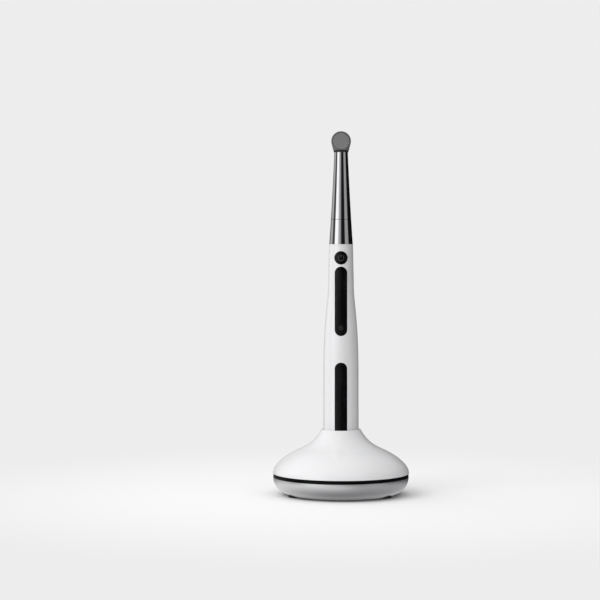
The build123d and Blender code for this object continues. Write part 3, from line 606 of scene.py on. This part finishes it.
def icons():
    """The power sign on the upper key and a light sign on the lower one."""
    ink = icon_ink()
    half_gap = POWER_GAP_DEGREES / 2
    arc = arc_band(POWER_RING_RADIUS, POWER_LINE, 90 + half_gap, 450 - half_gap, POWER_RING_STEPS)
    foot, top = (0, POWER_BAR_TOP - POWER_BAR_LENGTH), (0, POWER_BAR_TOP)
    bar = bar_band(foot, top, POWER_LINE, POWER_BAR_STEPS)
    printed("power_icon", [arc, bar], "power_button", "power_key", ink)
    rays = []
    for number in range(MODE_RAY_COUNT):
        angle = 2 * math.pi * number / MODE_RAY_COUNT
        way = Vector((math.cos(angle), math.sin(angle)))
        rays.append(bar_band(way * MODE_RAY_START, way * MODE_RAY_END, MODE_LINE, MODE_RAY_STEPS))
    ring = arc_band(MODE_RING_RADIUS, MODE_LINE, 0, 360, MODE_RING_STEPS)
    printed("mode_icon", [ring] + rays, "mode_button", "mode_key", ink)


def apart(node, gap):
    """Boxes of a node's separate solids, which lie further from each other than the gap."""
    boxes = []
    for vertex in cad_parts[node].data.vertices:
        point = vertex.co
        for low, high in boxes:
            if (((low + high) / 2).xy - point.xy).length < gap:
                for i in range(3):
                    low[i], high[i] = min(low[i], point[i]), max(high[i], point[i])
                break
        else:
            boxes.append((point.copy(), point.copy()))
    return boxes


def cross_reach(angle, length, width):
    """How far a cross reaches from its middle at an angle."""
    across, along = (max(abs(part), SMALLEST) for part in (math.cos(angle), math.sin(angle)))
    return max(min(length / across, width / along), min(width / across, length / along))


def cross_screws():
    """Screws whose heads look down, each turned as its driver left it."""
    corner = math.atan2(SCREW_CROSS_WIDTH, SCREW_CROSS_LENGTH)
    quarter = math.pi / 2
    angles = {round(2 * math.pi * i / SCREW_STEPS, 6) for i in range(SCREW_STEPS)}
    for i in range(4):
        angles |= {round(i * quarter + turn, 6) for turn in (corner, quarter / 2, quarter - corner)}
    angles = sorted(angles)
    crosses = (
        (SCREW_FLOOR_DEPTH, SCREW_FLOOR_LENGTH, SCREW_FLOOR_WIDTH),
        (0.0, SCREW_CROSS_LENGTH, SCREW_CROSS_WIDTH),
    )
    builder = bmesh.new()
    for (low, high), turn in zip(apart("base_screws", SCREW_APART), SCREW_TURNS):
        middle = (low + high) / 2
        head = (high.x - low.x) / 2
        face, tip = low.z, high.z
        seat = face + SCREW_HEAD_HEIGHT
        ways = [angle + math.radians(turn) for angle in angles]
        loops = []
        for depth, length, width in crosses:
            reaches = [cross_reach(angle, length, width) for angle in angles]
            loops.append(spun(builder, middle, reaches, ways, face + depth))
        rounds = []
        for step in range(SCREW_EDGE_STEPS + 1):
            bend = quarter * step / SCREW_EDGE_STEPS
            drop, inset = SCREW_EDGE * (1 - math.cos(bend)), SCREW_EDGE * (1 - math.sin(bend))
            rounds.append((face + drop, head - inset))
        rounds += [(seat, head), (seat, SCREW_RADIUS), (tip - SCREW_TIP_LENGTH, SCREW_RADIUS)]
        rounds.append((tip, SCREW_TIP_RADIUS))
        for z, radius in rounds:
            loops.append(spun(builder, middle, [radius] * len(ways), ways, z))
        skin(builder, loops)
        for loop, z in ((loops[0], face + SCREW_CROSS_DEPTH), (loops[-1], tip)):
            point = builder.verts.new((middle.x, middle.y, z))
            for i in range(len(angles)):
                builder.faces.new((loop[i], loop[(i + 1) % len(angles)], point))
    thing = piece("cross_screws", builder, "base", bpy.data.materials["screw_steel"])
    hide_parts("base_screws")


def seam_washer():
    """Dark washer that the neck turns on, set back a little from the polished edge."""
    low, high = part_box("neck_collar")
    middle = (low + high) / 2
    rim = [v.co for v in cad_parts["neck_collar"].data.vertices if v.co.z > SEAM_Z - WASHER_PLAY]
    outer = max((point.xy - middle.xy).length for point in rim) - WASHER_INSET
    inner = outer - WASHER_WIDTH
    foot, top = SEAM_Z + WASHER_PLAY, SEAM_Z + SEAM_GAP - WASHER_PLAY
    angles = [2 * math.pi * i / WASHER_STEPS for i in range(WASHER_STEPS)]
    builder = bmesh.new()
    loops = []
    for radius, z in ((inner, foot), (outer, foot), (outer, top), (inner, top)):
        loops.append(spun(builder, middle, [radius] * WASHER_STEPS, angles, z))
    skin(builder, loops + loops[:1])
    piece("seam_washer", builder, "pen", bpy.data.materials["inner_plastic"])


def pin_springs():
    """Give each pin spring a mesh of its own."""
    for side in ("left", "right"):
        node, joint = f"pin_spring_{side}", f"{side}_pin_press"
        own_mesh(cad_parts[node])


def floor():
    """Pale floor that turns into the backdrop's colour away from the object."""
    builder = bmesh.new()
    bmesh.ops.create_circle(builder, cap_ends=True, segments=FLOOR_STEPS, radius=FLOOR_RADIUS)
    material = bpy.data.materials.new("floor_paper")
    nodes = Nodes(material)
    place = nodes.place()
    far = nodes.add("ShaderNodeVectorMath", ((0, place),), operation="LENGTH").outputs["Value"]
    fade = nodes.add("ShaderNodeMapRange", (
        ("Value", far), ("From Min", FLOOR_FADE_START), ("From Max", FLOOR_FADE_END),
    ), interpolation_type="SMOOTHSTEP").outputs[0]
    paper = nodes.add("ShaderNodeBsdfDiffuse", (("Color", FLOOR_COLOUR),)).outputs[0]
    seen = nodes.add("ShaderNodeEmission", (("Color", BACKDROP),)).outputs[0]
    clear = nodes.add("ShaderNodeBsdfTransparent").outputs[0]
    path = nodes.add("ShaderNodeLightPath").outputs
    away = nodes.blend(path["Is Camera Ray"], clear, seen)
    open_to = nodes.math("MAXIMUM", fade, path["Is Glossy Ray"])
    both = nodes.blend(open_to, paper, away)
    nodes.add("ShaderNodeOutputMaterial", (("Surface", both),))
    built("floor", builder, material)


def studio():
    """Surroundings: backdrop for the camera, soft boxes for gloss, a soft sky for the rest."""
    world = bpy.data.worlds.new("studio")
    bpy.context.scene.world = world
    world.cycles.sampling_method = "NONE"
    nodes = Nodes(world)
    way = nodes.add("ShaderNodeTexCoord").outputs["Generated"]
    x, y, z = nodes.split(way)
    turn = nodes.math("ARCTAN2", x, nodes.math("MULTIPLY", y, -1.0))
    share = nodes.math("ADD", nodes.math("DIVIDE", turn, 2 * math.pi), 0.5)
    stops = [((degrees + 180) / 360, level) for degrees, level in STUDIO]
    boxes = nodes.ramp(share, stops)
    above = nodes.mix(nodes.spread(z, 0.0, 1.0, *WALL_TO_CEILING), boxes, CEILING)
    under = nodes.mix(nodes.spread(x, 0.0, 1.0, *LEFT_TO_RIGHT), UNDER_LEFT, UNDER_RIGHT)
    under = nodes.mix(nodes.spread(z, 0.0, 1.0, *UNDER_TO_DARK), under, UNDER_DARK)
    gloss = nodes.mix(nodes.spread(z, 0.0, 1.0, *WALL_TO_UNDER), above, under)
    sky = SOFT_ALL
    for axis, sign, power, level in (
        (x, -1.0, 1.0, SOFT_LEFT),
        (y, -1.0, 1.0, SOFT_FRONT),
        (z, 1.0, 3.0, SOFT_TOP),
        (z, -1.0, 1.0, SOFT_BELOW),
    ):
        facing = nodes.math("MAXIMUM", nodes.math("MULTIPLY", axis, sign), 0.0)
        sky = nodes.math("ADD", sky, nodes.math("MULTIPLY", nodes.math("POWER", facing, power), level))
    path = nodes.add("ShaderNodeLightPath").outputs
    mirrored = nodes.math("MAXIMUM", path["Is Glossy Ray"], path["Is Transmission Ray"])
    light = nodes.mix(mirrored, sky, gloss)
    shown = nodes.mix(path["Is Camera Ray"], light, BACKDROP)
    background = nodes.add("ShaderNodeBackground", (("Color", shown),))
    nodes.add("ShaderNodeOutputWorld", (("Surface", background.outputs[0]),))


def key_light():
    """Large soft light from the upper left."""
    light = bpy.data.lights.new("key", "AREA")
    light.shape = "SQUARE"
    light.size = KEY_SIZE
    light.energy = KEY_POWER
    lamp = bpy.data.objects.new("key", light)
    lamp.location = KEY_PLACE
    aim = (cad_low + cad_high) / 2
    lamp.rotation_euler = (aim - lamp.location).to_track_quat("-Z", "Y").to_euler()
    lamp.visible_glossy = False
    bpy.context.scene.collection.objects.link(lamp)


def camera():
    """Camera level with the handle, aimed so that the object stands where the photo has it."""
    height = cad_high.z - cad_low.z
    focus = (OBJECT_FOOT_PIXEL - OBJECT_TOP_PIXEL) / height * CAMERA_DISTANCE
    data = bpy.data.cameras.new("camera")
    data.sensor_width = SENSOR_WIDTH
    data.lens = focus / PICTURE_WIDTH * SENSOR_WIDTH
    pixel = CAMERA_DISTANCE / focus
    middle = PICTURE_WIDTH / 2
    aim = Vector((
        (middle - OBJECT_X_PIXEL) * pixel,
        0.0,
        height / 2 + ((OBJECT_TOP_PIXEL + OBJECT_FOOT_PIXEL) / 2 - middle) * pixel,
    ))
    thing = bpy.data.objects.new("camera", data)
    thing.location = (0.0, -CAMERA_DISTANCE, CAMERA_HEIGHT)
    thing.rotation_euler = (aim - thing.location).to_track_quat("-Z", "Y").to_euler()
    bpy.context.scene.collection.objects.link(thing)
    bpy.context.scene.camera = thing


dress_slots()
icons()
cross_screws()
seam_washer()
pin_springs()
floor()
studio()
key_light()
camera()
bpy.context.scene.view_settings.view_transform = "Standard"
